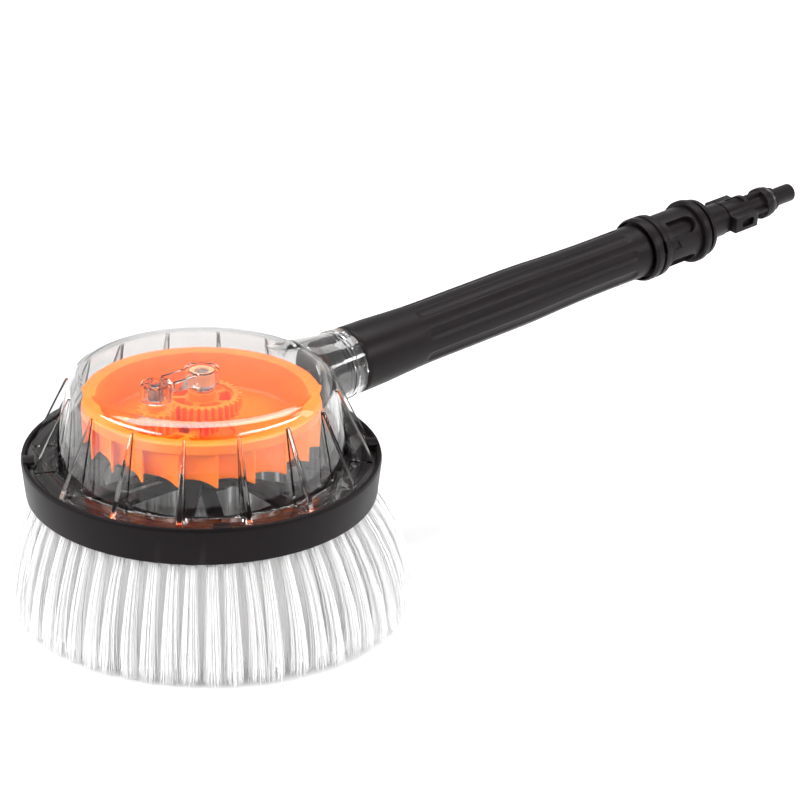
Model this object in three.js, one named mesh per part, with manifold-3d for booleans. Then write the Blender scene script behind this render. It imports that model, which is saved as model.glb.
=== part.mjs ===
// Rotary wash brush for a pressure washer. A water jet in the neck of a clear dome spins a turbine,
// and a two-stage gear train under the dome turns the bristle disc at under a fifth of its speed.
// Millimetres, +Z up. The brush stands on its bristle tips at z = 0, with its handle towards +X,
// and the origin is below the middle of the whole length.

import * as THREE from 'three';
import { mergeVertices } from 'three/addons/utils/BufferGeometryUtils.js';
import Module from 'manifold-3d';

const wasm = await Module();
wasm.setup();

// ---- Driving dimensions --------------------------------------------------------------------

const gap = 0.3;                // between pieces that touch
const headSides = 36;           // facets round the large turned pieces
const handleSides = 20;         // facets round the handle pieces
const smallSides = 12;          // facets round bushes, pins and seals
const degree = Math.PI / 180;

// Head. Its heights are measured from the lip plane, the top of the base ring.
const lipHeight = 70;           // lip plane above the bristle tips
const ringRadius = 80;
const ringFootRadius = 78.2;
const ringDepth = 17.5;
const ringWall = 2;
const floorTop = -4;
const floorBottom = -6.4;

const flangeTop = -1.5;
const flangeRadius = ringRadius - 2.7;
const skirtFootRadius = 66;
const shoulderRadius = 59.4;
const shoulderHeight = 31.5;
const crownHeight = 40.3;
const domeWall = 2.3;
const ribCount = 16;
const ribPhase = -0.2 * degree;
const ribTipHeight = 32;
const ribFootRadius = 75.8;
const ribThickness = 1.5;
const clipCount = 4;
const clipPhase = 58.5 * degree;

// Handle. Its stations are distances from the brush axis along the handle axis.
const handleRise = 16.6;        // where the handle axis crosses the brush axis
const handleTilt = 3.1 * degree;
const neckRadius = 16;
const neckBore = 13.2;
const neckEnd = 84.5;
const plugStart = 64;
const gripStart = neckEnd + gap;
const gripEnd = 271.6;
const gripBore = 10.8;
const pipeRadius = 5.5;
const endRingStart = gripEnd + gap;
const endRingEnd = 282.5;
const sleeveStart = endRingEnd + gap;
const sleeveEnd = 306.6;
const sleeveRadius = 13.7;
const collarBore = 11.5;
const collarStart = sleeveEnd + gap;
const collarEnd = 316;
const bandRadius = 16;
const socketBore = 8.9;
const tubeRadius = 8.5;
const tubeStart = 292;
const tubeEnd = 331.5;
const lugStart = 333.5;
const lugEnd = 350;
const lugReach = 11.4;
const lugWidth = 8.5;
const lugAngle = -6 * degree;
const waistEnd = 361.5;
const sealGroove = 365.6;
const noseStart = 371.5;
const noseEnd = 385.5;
const noseRadius = 4.65;
const waterBore = 2.5;

// Gear train, module 1. The idler is opposite the handle.
const moduleSize = 1;
const pinionTeeth = 14;
const idlerLargeTeeth = 36;
const idlerSmallTeeth = 16;
const outputTeeth = 34;
const idlerOffset = (pinionTeeth + idlerLargeTeeth) * moduleSize / 2;
const lowerMesh = [12.6, 18.4];     // heights of the turbine pinion's mesh
const upperMesh = [20.6, 26.2];     // heights of the output gear's mesh
const shaftRadius = 3;
const axleRadius = 2;

// Turbine.
const turbineRadius = 52.8;
const turbineTop = 26.6;
const bowlRadius = 48.3;
const bowlWall = 1.8;
const bowlFloor = [8, 10];
const vaneCount = 20;
const vaneFoot = 6;
const vaneSweep = 5.2 * degree;
const vaneThickness = 1.4;

// Brush.
const discTop = -11.6;
const discBottom = -16.5;
const discRadius = 75.7;
const bandInner = 48.5;
const bristleRootTop = discBottom - gap;
const bristleRows = [
  { root: 72.9, tip: 85.2 },
  { root: 65.8, tip: 76.4 },
  { root: 58.7, tip: 67.8 },
  { root: 51.6, tip: 59.4 },
];
const bristleHalf = 2.5;        // half the thickness of a row

const bristleTipRadius = bristleRows[0].tip + bristleHalf;
const noseReach = noseEnd * Math.cos(handleTilt) + noseRadius * Math.sin(handleTilt);
const brushAxisX = (bristleTipRadius - noseReach) / 2;

// ---- Helpers -------------------------------------------------------------------------------

// A closed geometry as a solid that can be joined and cut.
function solidOf(geometry) {
  const bare = geometry.clone();
  bare.deleteAttribute('normal');
  bare.deleteAttribute('uv');
  const merged = mergeVertices(bare, 1e-4);
  const corners = merged.index.array;
  const kept = [];
  for (let i = 0; i < corners.length; i += 3) {
    const [a, b, c] = [corners[i], corners[i + 1], corners[i + 2]];
    if (a !== b && b !== c && c !== a) kept.push(a, b, c);
  }
  return new wasm.Manifold(new wasm.Mesh({
    numProp: 3,
    vertProperties: new Float32Array(merged.attributes.position.array),
    triVerts: new Uint32Array(kept),
  }));
}

function geometryOf(solid) {
  const mesh = solid.getMesh();
  const geometry = new THREE.BufferGeometry();
  geometry.setAttribute('position', new THREE.BufferAttribute(mesh.vertProperties, 3));
  geometry.setIndex(new THREE.BufferAttribute(mesh.triVerts, 1));
  geometry.computeVertexNormals();
  return geometry;
}

// A solid turned about Z. The profile is [radius, height] pairs that run anticlockwise,
// from axis to axis, or round a ring's section.
function turned(profile, sides) {
  const points = profile.map(([radius, height]) => new THREE.Vector2(radius, height));
  if (profile[0][0] > 0) points.push(points[0].clone());
  const geometry = new THREE.LatheGeometry(points, sides);
  geometry.rotateX(Math.PI / 2);
  return solidOf(geometry);
}

function cylinder(radius, from, to, sides = smallSides) {
  return turned([[0, from], [radius, from], [radius, to], [0, to]], sides);
}

function tube(inner, outer, from, to, sides = smallSides) {
  return turned([[inner, from], [outer, from], [outer, to], [inner, to]], sides);
}

// A ring of round section, such as a seal.
function seal(middle, thickness, at) {
  const profile = [];
  for (let i = 0; i < 6; i += 1) {
    const angle = (i + 0.5) * Math.PI / 3;
    profile.push([middle + thickness * Math.cos(angle), at + thickness * Math.sin(angle)]);
  }
  return turned(profile, handleSides);
}

function block(sizeX, sizeY, sizeZ, x, y, z) {
  const geometry = new THREE.BoxGeometry(sizeX, sizeY, sizeZ);
  geometry.translate(x, y, z);
  return solidOf(geometry);
}

// A flat outline in X and Y raised from one height to another.
function raised(shape, from, to, curveSteps = 4) {
  const geometry = new THREE.ExtrudeGeometry(shape, {
    depth: to - from,
    bevelEnabled: false,
    curveSegments: curveSteps,
  });
  geometry.translate(0, 0, from);
  return solidOf(geometry);
}

function outline(points) {
  return new THREE.Shape(points.map(([x, y]) => new THREE.Vector2(x, y)));
}

// A plate in the XZ plane, centred on Y, from [x, z] points.
function uprightPlate(points, thickness) {
  return raised(outline(points), -thickness / 2, thickness / 2).rotate([90, 0, 0]);
}

function around(solid, count, phase = 0) {
  const copies = [];
  for (let i = 0; i < count; i += 1) {
    copies.push(solid.rotate([0, 0, (phase / degree) + i * 360 / count]));
  }
  return wasm.Manifold.union(copies);
}

// Part of a flat ring, as an outline.
function sector(inner, outer, halfWidth) {
  const innerAngle = Math.PI / halfWidth.count - Math.asin(halfWidth.spoke / inner);
  const outerAngle = Math.PI / halfWidth.count - Math.asin(halfWidth.spoke / outer);
  const shape = new THREE.Shape();
  shape.absarc(0, 0, outer, -outerAngle, outerAngle, false);
  shape.absarc(0, 0, inner, innerAngle, -innerAngle, true);
  return shape;
}

// Windows between equal spokes in a flat web.
function windows(inner, outer, count, spoke, from, to) {
  const one = raised(sector(inner, outer, { count, spoke: spoke / 2 }), from, to, 3);
  return around(one, count, Math.PI / count);
}

// Stub-toothed spur gear outline. A tooth points along +X when phase is 0.
function gearOutline(teeth, phase = 0) {
  const pitchRadius = teeth * moduleSize / 2;
  const flank = [
    { radius: pitchRadius - 1.05 * moduleSize, half: 0.95 * moduleSize },
    { radius: pitchRadius + 0.7 * moduleSize, half: 0.34 * moduleSize },
  ];
  const points = [];
  for (let i = 0; i < teeth; i += 1) {
    const middle = phase + i * 2 * Math.PI / teeth;
    const sides = [[flank[0], -1], [flank[1], -1], [flank[1], 1], [flank[0], 1]];
    for (const [corner, side] of sides) {
      const angle = middle + side * corner.half / corner.radius;
      points.push([corner.radius * Math.cos(angle), corner.radius * Math.sin(angle)]);
    }
  }
  return outline(points);
}

// Turns a solid built along Z into one along the handle, which runs along X.
function alongHandle(solid) {
  return solid.rotate([0, 90, 0]);
}

// Moves a solid built in the handle's own frame into the head's frame.
function inHead(solid) {
  return solid.rotate([0, -handleTilt / degree, 0]).translate([0, 0, handleRise]);
}

function plastic(color, roughness = 0.5) {
  return new THREE.MeshStandardMaterial({ color, roughness, metalness: 0 });
}

function metal(color, roughness = 0.3) {
  return new THREE.MeshStandardMaterial({ color, roughness, metalness: 1 });
}

function piece(parent, name, solid, material) {
  const mesh = new THREE.Mesh(geometryOf(solid), material);
  mesh.name = name;
  parent.add(mesh);
  return mesh;
}

// ---- Housing -------------------------------------------------------------------------------

// Clear cover: crowned dome on a conical skirt with a flat flange, sixteen gussets, the neck that
// the handle plugs into, and two bearing bosses with webs under the ceiling.
function domeCover() {
  const outside = turned([
    [0, flangeTop - domeWall],
    [flangeRadius, flangeTop - domeWall],
    [flangeRadius, flangeTop],
    [skirtFootRadius, flangeTop],
    [shoulderRadius, shoulderHeight],
    [58, 34.8],
    [56.4, 36.3],
    [54.2, 37.4],
    [46, 38.5],
    [28, 39.7],
    [0, crownHeight],
  ], headSides);
  const inside = turned([
    [0, flangeTop - domeWall - 1],
    [skirtFootRadius - domeWall, flangeTop - domeWall - 1],
    [skirtFootRadius - domeWall, flangeTop - domeWall],
    [shoulderRadius - domeWall, shoulderHeight - 0.8],
    [55.8, 33.3],
    [52.9, 35.2],
    [46, 36.3],
    [0, crownHeight - domeWall],
  ], headSides);
  const neck = inHead(alongHandle(turned([
    [0, 40],
    [20, 40],
    [17.6, 62],
    [neckRadius, 74],
    [neckRadius, neckEnd],
    [0, neckEnd],
  ], handleSides)));
  const bore = inHead(alongHandle(cylinder(neckBore, 40, neckEnd + 1, handleSides)));
  const gusset = uprightPlate([
    [skirtFootRadius - 1.5, flangeTop - 0.5],
    [ribFootRadius, flangeTop - 0.5],
    [ribFootRadius, flangeTop + 1],
    [shoulderRadius + 0.5, ribTipHeight],
    [shoulderRadius - 1.2, ribTipHeight],
  ], ribThickness);
  return outside
    .add(neck)
    .add(around(gusset, ribCount, ribPhase))
    .subtract(inside)
    .subtract(bore)
    .add(ceilingBosses());
}

// Two bosses that hold the tops of the drive shaft and the idler axle, tied by two webs.
function ceilingBosses() {
  const ceiling = 38.4;
  const shaftBoss = tube(5.9, 7.9, 32, ceiling + 0.8);
  const axleBoss = tube(axleRadius + gap, 6.5, 30.2, ceiling + 0.8).translate([-idlerOffset, 0, 0]);
  const cap = cylinder(7, ceiling - 0.8, ceiling + 0.9);
  const webLength = idlerOffset - 12;
  const webMiddle = -idlerOffset / 2 + 0.5;
  const web = block(webLength, 1.5, 5.4, webMiddle, 4.6, ceiling - 1.9);
  return shaftBoss
    .add(axleBoss)
    .add(cap)
    .add(cap.scale([0.8, 0.8, 1]).translate([-idlerOffset, 0, 0]))
    .add(web)
    .add(web.mirror([0, 1, 0]));
}

// Black base: stepped outer ring, windowed floor, bearing hub and four clips over the dome flange.
function baseHousing() {
  const innerRadius = ringFootRadius - ringWall;
  const body = turned([
    [innerRadius, -ringDepth],
    [ringFootRadius, -ringDepth],
    [ringRadius, -1.2],
    [ringRadius - 0.6, 0],
    [ringRadius - 2.1, 0],
    [ringRadius - 2.3, floorTop],
    [11, floorTop],
    [11, 1.5],
    [6.4, 1.5],
    [6.4, -7.6],
    [11, -7.6],
    [11, floorBottom],
    [innerRadius, floorBottom],
  ], headSides);
  const openings = windows(27, 68, 8, 7, floorBottom - 1, floorTop + 1);
  const clip = block(4.6, 8, 1.8, ringRadius - 3.7, 0, flangeTop + gap + 0.9);
  return body.subtract(openings).add(around(clip, clipCount, clipPhase));
}

// Flanged bush in the base hub, for the drive shaft.
function lowerBush() {
  return turned([
    [shaftRadius + 0.3, -7.6],
    [6.1, -7.6],
    [6.1, 1.8],
    [8, 1.8],
    [8, 2.8],
    [shaftRadius + 0.3, 2.8],
  ], smallSides);
}

function topBush() {
  return tube(shaftRadius + 0.3, 5.6, 32.2, 37.2);
}

function idlerAxle() {
  return cylinder(axleRadius, 10.7, 36.6);
}

function idlerClip() {
  return tube(axleRadius + gap, 4.2, 11.3, 12.2);
}

// Black plug in the clear neck: it carries the seal and leads the water to the jet.
function neckPlug() {
  const body = alongHandle(turned([
    [0, plugStart],
    [12.9, plugStart],
    [12.9, 74],
    [11.5, 74],
    [11.5, 77],
    [12.9, 77],
    [12.9, neckEnd],
    [gripBore - gap, neckEnd],
    [gripBore - gap, 100],
    [pipeRadius + gap, 100],
    [pipeRadius + gap, 78],
    [0, 78],
  ], handleSides));
  const passage = alongHandle(cylinder(1.4, plugStart - 1, 80)).translate([0, 4, -3]);
  return body.subtract(passage);
}

function jetNozzle() {
  return turned([
    [0.7, -4],
    [1.8, -4],
    [1.8, 0],
    [3, 0],
    [3, 3],
    [0.7, 3],
  ], smallSides);
}

function innerPipe() {
  return tube(3.6, pipeRadius, 78 + gap, 288);
}

// Waisted hand grip, a thick-walled tube.
function grip() {
  return turned([
    [gripBore, gripStart],
    [15.9, gripStart],
    [15.6, 100],
    [14.9, 114],
    [14.5, 128],
    [14.4, 193],
    [13.8, 213],
    [13.3, 234],
    [13.4, gripEnd],
    [gripBore, gripEnd],
  ], handleSides);
}

// Grip end ring with two bands and a groove between them.
function gripEndRing() {
  return turned([
    [collarBore, endRingStart],
    [bandRadius - 0.6, endRingStart],
    [bandRadius, 274],
    [bandRadius, 276.6],
    [bandRadius - 1.2, 277],
    [bandRadius - 1.2, 278.4],
    [bandRadius, 278.8],
    [bandRadius - 0.2, endRingEnd],
    [collarBore, endRingEnd],
  ], handleSides);
}

// Sleeve with four windows that are round at their far ends.
function collarSleeve() {
  const body = tube(collarBore, sleeveRadius, sleeveStart, sleeveEnd, handleSides);
  const windowHalf = 4.4;
  const window = new THREE.Shape();
  window.moveTo(sleeveStart + 2, -windowHalf);
  window.lineTo(sleeveEnd - 7, -windowHalf);
  window.absarc(sleeveEnd - 7, 0, windowHalf, -Math.PI / 2, Math.PI / 2, false);
  window.lineTo(sleeveStart + 2, windowHalf);
  const cutter = raised(window, 8, 18, 8);
  let sleeve = alongHandle(body);
  for (let i = 0; i < 4; i += 1) {
    sleeve = sleeve.subtract(cutter.rotate([45 + 90 * i, 0, 0]));
  }
  return sleeve;
}

function collarRing() {
  return turned([
    [collarBore, collarStart],
    [bandRadius - 0.4, collarStart],
    [bandRadius, 308],
    [bandRadius, 310.8],
    [bandRadius - 3, 311.1],
    [bandRadius - 3, 313.1],
    [bandRadius - 1, 313.4],
    [bandRadius - 1.2, collarEnd],
    [collarBore, collarEnd],
  ], handleSides);
}

function adapterSocket() {
  return tube(socketBore, collarBore - gap, endRingStart + gap, collarEnd - gap, handleSides);
}

// Bayonet adapter: tube, two slotted lugs, ribbed waist, sealing disc and nose.
function adapterBody() {
  const turnedBody = alongHandle(turned([
    [waterBore, tubeStart],
    [tubeRadius, tubeStart],
    [tubeRadius, 298.5],
    [6.9, 298.5],
    [6.9, 301.5],
    [tubeRadius, 301.5],
    [tubeRadius, tubeEnd],
    [7.3, tubeEnd],
    [7.3, lugStart],
    [8, lugStart],
    [8, lugEnd],
    [5.2, lugEnd],
    [5.2, waistEnd],
    [8, waistEnd],
    [8, sealGroove],
    [4.95, sealGroove],
    [4.95, 369],
    [6.2, 369],
    [6.2, noseStart],
    [noseRadius, noseStart],
    [noseRadius, noseEnd - 0.8],
    [noseRadius - 0.6, noseEnd],
    [waterBore, noseEnd],
  ], handleSides));
  const lugLength = lugEnd - lugStart;
  const lugMiddle = (lugStart + lugEnd) / 2;
  const lug = block(lugLength, lugWidth, lugReach - 6, lugMiddle, 0, (lugReach + 6) / 2)
    .subtract(block(6.5, lugWidth / 2, 4, lugMiddle, 0, lugReach));
  const pocket = block(8, 7, 4, lugMiddle, 0, 8.5);
  const waistRib = block(waistEnd - lugEnd + 1, 1.8, 4, (waistEnd + lugEnd) / 2, 0, 5.6);
  const lugTurn = 90 - lugAngle / degree;
  let body = turnedBody;
  for (const side of [0, 180]) {
    body = body.add(lug.rotate([side + lugTurn, 0, 0]));
    body = body.subtract(pocket.rotate([side + lugTurn + 90, 0, 0]));
  }
  for (let i = 0; i < 4; i += 1) {
    body = body.add(waistRib.rotate([90 * i + lugTurn, 0, 0]));
  }
  return body;
}

// ---- Turbine and gears ---------------------------------------------------------------------

// Open bowl with twenty slanted vanes round it, a top rim, and the pinion moulded on its hub.
function turbineWheel() {
  const [floorUnder, floorOver] = bowlFloor;
  const bowl = turned([
    [4.7, 3.2],
    [7.3, 3.2],
    [7.3, floorUnder],
    [bowlRadius, floorUnder],
    [bowlRadius, 25],
    [turbineRadius - 1.8, 25],
    [turbineRadius - 1.8, 21.8],
    [turbineRadius, 21.8],
    [turbineRadius, turbineTop],
    [bowlRadius - bowlWall, turbineTop],
    [bowlRadius - bowlWall, floorOver],
    [7.3, floorOver],
    [7.3, 12],
    [4.7, 12],
  ], headSides);
  const pinion = raised(gearOutline(pinionTeeth), 11.8, lowerMesh[1] + 0.6)
    .subtract(cylinder(4.7, 11, 20));
  return bowl.add(turbineVanes()).add(pinion);
}

function turbineVanes() {
  const innerEnd = bowlRadius - 0.9;
  const outerEnd = turbineRadius - 0.2;
  const start = [innerEnd, 0];
  const end = [outerEnd * Math.cos(vaneSweep), outerEnd * Math.sin(vaneSweep)];
  const length = Math.hypot(end[0] - start[0], end[1] - start[1]);
  const slant = Math.atan2(end[1] - start[1], end[0] - start[0]);
  const shape = [
    [0, bowlFloor[0] + 0.4],
    [length, vaneFoot],
    [length, 21],
    [0, 25.4],
  ];
  const vane = uprightPlate(shape, vaneThickness)
    .rotate([0, 0, slant / degree])
    .translate([start[0], start[1], 0]);
  return around(vane, vaneCount);
}

function turbineBush(from, to) {
  return tube(shaftRadius + 0.3, 4.4, from, to);
}

// Compound idler: the large gear meets the turbine pinion, the small one the output gear.
function idlerGear() {
  const largePhase = Math.PI / idlerLargeTeeth;
  const smallPhase = Math.PI / idlerSmallTeeth;
  const large = raised(gearOutline(idlerLargeTeeth, largePhase), lowerMesh[0], lowerMesh[1]);
  const small = raised(gearOutline(idlerSmallTeeth, smallPhase), lowerMesh[1] - 0.5, upperMesh[1]);
  const shoulder = cylinder(4.2, upperMesh[1] - 0.5, 28.6);
  return large.add(small).add(shoulder).subtract(cylinder(axleRadius + gap, 11, 30));
}

// Output gear with five windows in its web, fixed on the drive shaft.
function outputGear() {
  const [under, over] = upperMesh;
  const rim = raised(gearOutline(outputTeeth), under, over);
  const hub = cylinder(6.2, under - 0.6, 28.5);
  return rim
    .subtract(windows(7.4, 12.8, 5, 3, under - 1, over + 1))
    .add(hub)
    .subtract(cylinder(shaftRadius + gap, under - 2, 30));
}

// ---- Brush ---------------------------------------------------------------------------------

function driveShaft() {
  return cylinder(shaftRadius, -17.6, 36.9).subtract(cylinder(1.8, -19, -8));
}

function shaftClip() {
  return tube(shaftRadius + gap, 5.6, 28.8, 29.8);
}

// Carrier disc: a thick band for the bristle rows, a windowed web and a hub.
function brushDisc() {
  const webTop = -12.2;
  const webBottom = -14.5;
  const body = turned([
    [shaftRadius + gap, -17.9],
    [10, -17.9],
    [10, webBottom],
    [bandInner, webBottom],
    [bandInner, discBottom],
    [discRadius, discBottom],
    [discRadius, discTop],
    [bandInner, discTop],
    [bandInner, webTop],
    [10, webTop],
    [10, -8.2],
    [shaftRadius + gap, -8.2],
  ], headSides);
  return body.subtract(windows(16, bandInner - 4, 6, 7, webBottom - 1, webTop + 1));
}

function discWasher() {
  return tube(2.2, 7, -19.4, -18.2);
}

function discScrew() {
  return turned([
    [0, -22.4],
    [3.4, -22.4],
    [4.2, -21.6],
    [4.2, -19.7],
    [1.5, -19.7],
    [1.5, -9],
    [0, -9],
  ], smallSides);
}

// One row of bristles as a plain ring of its outer shape, flaring towards the tips.
function bristleRow({ root, tip }) {
  const tipHeight = -lipHeight;
  const spread = tip - root;
  const steps = 2;
  const outer = [];
  const inner = [];
  for (let i = 0; i <= steps; i += 1) {
    const part = i / steps;
    const height = tipHeight + (bristleRootTop - tipHeight) * part;
    const middle = root + spread * (1 - part ** 2.2);
    outer.push([middle + bristleHalf, height]);
    inner.unshift([middle - bristleHalf, height]);
  }
  return turned([...outer, ...inner], headSides);
}

// ---- Assembly ------------------------------------------------------------------------------

const blackPlastic = () => plastic(0x2b272a, 0.55);
const orangePlastic = () => plastic(0xff7a0a, 0.45);
const clearPlastic = () => new THREE.MeshStandardMaterial({
  color: 0xe8ecec,
  roughness: 0.08,
  metalness: 0,
  transparent: true,
  opacity: 0.35,
});
const rubber = () => plastic(0x151515, 0.8);
const steel = () => metal(0xb8bcc0);
const brass = () => metal(0xc79a48);
const bushPlastic = () => plastic(0xe9e4d8, 0.5);
const bristleNylon = () => plastic(0xf4f3f3, 0.6);

const wheelBrush = new THREE.Group();
const head = new THREE.Group();
head.position.set(brushAxisX, 0, lipHeight);
wheelBrush.add(head);

const handle = new THREE.Group();
handle.position.set(brushAxisX, 0, lipHeight + handleRise);
handle.rotation.y = -handleTilt;
wheelBrush.add(handle);

piece(head, 'dome_cover', domeCover(), clearPlastic());
piece(head, 'base_housing', baseHousing(), blackPlastic());
piece(head, 'lower_bush', lowerBush(), bushPlastic());
piece(head, 'top_bush', topBush(), bushPlastic());
piece(head, 'idler_axle', idlerAxle(), steel()).position.x = -idlerOffset;
piece(head, 'idler_clip', idlerClip(), steel()).position.x = -idlerOffset;

piece(head, 'turbine_wheel', turbineWheel(), orangePlastic());
piece(head, 'turbine_bush_lower', turbineBush(3.4, 9.4), bushPlastic());
piece(head, 'turbine_bush_upper', turbineBush(12.4, 18.4), bushPlastic());
piece(head, 'idler_gear', idlerGear(), orangePlastic()).position.x = -idlerOffset;

piece(head, 'drive_shaft', driveShaft(), steel());
piece(head, 'output_gear', outputGear(), orangePlastic());
piece(head, 'shaft_clip', shaftClip(), steel());
piece(head, 'brush_disc', brushDisc(), blackPlastic());
piece(head, 'disc_washer', discWasher(), steel());
piece(head, 'disc_screw', discScrew(), steel());
bristleRows.forEach((row, index) => {
  piece(head, `bristle_row_${index + 1}`, bristleRow(row), bristleNylon());
});

piece(handle, 'neck_plug', neckPlug(), blackPlastic());
piece(handle, 'plug_seal', alongHandle(seal(12.4, 0.6, 75.5)), rubber());
const nozzle = piece(handle, 'jet_nozzle', jetNozzle(), brass());
nozzle.position.set(plugStart - 3.3, 4, -3);
nozzle.rotation.set(0, Math.PI / 2, 0);
piece(handle, 'inner_pipe', alongHandle(innerPipe()), blackPlastic());
piece(handle, 'grip', alongHandle(grip()), blackPlastic());
piece(handle, 'grip_end_ring', alongHandle(gripEndRing()), blackPlastic());
piece(handle, 'collar_sleeve', collarSleeve(), blackPlastic());
piece(handle, 'collar_ring', alongHandle(collarRing()), blackPlastic());
piece(handle, 'adapter_socket', alongHandle(adapterSocket()), blackPlastic());
piece(handle, 'pipe_seal', alongHandle(tube(pipeRadius + gap, 8.6, 283, 287)), rubber());
piece(handle, 'adapter_body', adapterBody(), blackPlastic());
piece(handle, 'adapter_seal', alongHandle(seal(7.9, 0.65, 300)), rubber());
piece(handle, 'adapter_oring', alongHandle(seal(6.35, 1.2, 367.3)), rubber());

export default wheelBrush;
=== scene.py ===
import math
import random

import bmesh
import bpy
from mathutils import Matrix, Vector


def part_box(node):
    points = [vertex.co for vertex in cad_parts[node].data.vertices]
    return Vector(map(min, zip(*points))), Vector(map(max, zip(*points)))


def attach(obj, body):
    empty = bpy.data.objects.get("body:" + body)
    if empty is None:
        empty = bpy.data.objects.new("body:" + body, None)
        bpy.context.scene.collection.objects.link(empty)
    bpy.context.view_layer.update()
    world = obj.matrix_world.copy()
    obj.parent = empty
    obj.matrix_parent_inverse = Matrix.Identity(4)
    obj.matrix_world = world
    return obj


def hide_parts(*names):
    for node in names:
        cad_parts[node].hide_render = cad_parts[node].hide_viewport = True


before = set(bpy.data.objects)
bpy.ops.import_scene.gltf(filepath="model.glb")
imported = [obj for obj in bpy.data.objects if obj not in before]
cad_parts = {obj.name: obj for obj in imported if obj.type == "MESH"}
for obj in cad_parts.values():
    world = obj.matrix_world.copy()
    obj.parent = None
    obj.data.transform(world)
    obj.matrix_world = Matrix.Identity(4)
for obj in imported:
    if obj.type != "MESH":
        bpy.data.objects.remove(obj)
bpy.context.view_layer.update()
scene = bpy.context.scene
print("frame loaded,", len(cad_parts), "CAD nodes")

# Shapes are drawn in millimetres. The head is drawn about the brush axis, with z = 0 on the top
# lip of the base ring. A handle piece is drawn along z, its distance from the brush axis.
millimetre = 0.001
ringDepth = 17.5
handleRise = 16.6
handleTilt = math.radians(3.1)
idlerOffset = 25

discLow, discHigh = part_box("brush_disc")
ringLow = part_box("base_housing")[0]
axisX = (discLow[0] + discHigh[0]) / 2
lipPlane = ringLow[2] + ringDepth * millimetre
headPlace = Matrix.Translation((axisX, 0, lipPlane)) @ Matrix.Scale(millimetre, 4)
idlerPlace = headPlace @ Matrix.Translation((-idlerOffset, 0, 0))
handlePlace = (
    headPlace
    @ Matrix.Translation((0, 0, handleRise))
    @ Matrix.Rotation(-handleTilt, 4, "Y")
    @ Matrix.Rotation(math.radians(90), 4, "Y")
)

# Camera, floor and light

viewpoint = {
    "distance": 1.3,
    "elevation": math.radians(23.6),
    "heading": math.radians(48),  # the way the camera looks, seen from above
    "roll": math.radians(1.42),
    "lens": 131.94,
    "aimRight": 0.08775,  # aim point, from the middle of the base ring
    "aimUp": 0.02246,
}
away = Vector((math.cos(viewpoint["heading"]), math.sin(viewpoint["heading"]), 0))
toRight = Vector((away.y, -away.x, 0))
skyward = Vector((0, 0, 1))
ringMiddle = Vector((axisX, 0, lipPlane))


def makeCamera():
    lift = viewpoint["elevation"]
    roll = viewpoint["roll"]
    back = skyward * math.sin(lift) - away * math.cos(lift)
    up = away * math.sin(lift) + skyward * math.cos(lift)
    sideways = toRight * math.cos(roll) + up * math.sin(roll)
    upwards = up * math.cos(roll) - toRight * math.sin(roll)
    place = ringMiddle + back * viewpoint["distance"]
    place += sideways * viewpoint["aimRight"] + upwards * viewpoint["aimUp"]
    lens = bpy.data.cameras.new("studioCamera")
    lens.lens = viewpoint["lens"]
    lens.sensor_width = 36
    lens.clip_start = 0.05
    lens.clip_end = 30
    camera = bpy.data.objects.new("studioCamera", lens)
    scene.collection.objects.link(camera)
    turn = Matrix((sideways, upwards, back)).transposed().to_4x4()
    camera.matrix_world = Matrix.Translation(place) @ turn
    scene.camera = camera


lighting = {
    "nearSky": (0.04, 0.6),  # strength low down and high up, on the camera's side
    "farSky": (0.9, 0.42),  # the same, behind the object
    "overhead": {
        "across": -0.15,
        "ahead": 0.35,
        "height": 1.75,
        "size": (3.0, 0.9),
        "power": 46,
        "shape": "RECTANGLE",
    },
    "leftBox": {
        "across": -1.3,
        "ahead": -0.72,
        "height": 0.86,
        "size": (1.85, 0.32),
        "power": 24,
        "shape": "ELLIPSE",
    },
    "rightBox": {
        "across": 1.35,
        "ahead": -0.62,
        "height": 0.86,
        "size": (1.85, 0.3),
        "power": 21,
        "shape": "ELLIPSE",
    },
    "sideFill": {
        "across": 1.45,
        "ahead": 0.4,
        "height": 0.72,
        "size": (0.3, 0.9),
        "power": 4,
        "shape": "RECTANGLE",
    },
}


def makeLight(name):
    facts = lighting[name]
    lamp = bpy.data.lights.new(name, "AREA")
    lamp.shape = facts["shape"]
    lamp.size, lamp.size_y = facts["size"]
    lamp.energy = facts["power"]
    light = bpy.data.objects.new(name, lamp)
    scene.collection.objects.link(light)
    middle = Vector((axisX, 0, 0.04))
    place = middle + toRight * facts["across"] + away * facts["ahead"]
    place.z = facts["height"]
    light.location = place
    light.rotation_euler = (middle - place).to_track_quat("-Z", "Y").to_euler()
    light.visible_camera = False
    light.visible_glossy = name != "sideFill"  # a fill light leaves no mirror image in the cover


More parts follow.
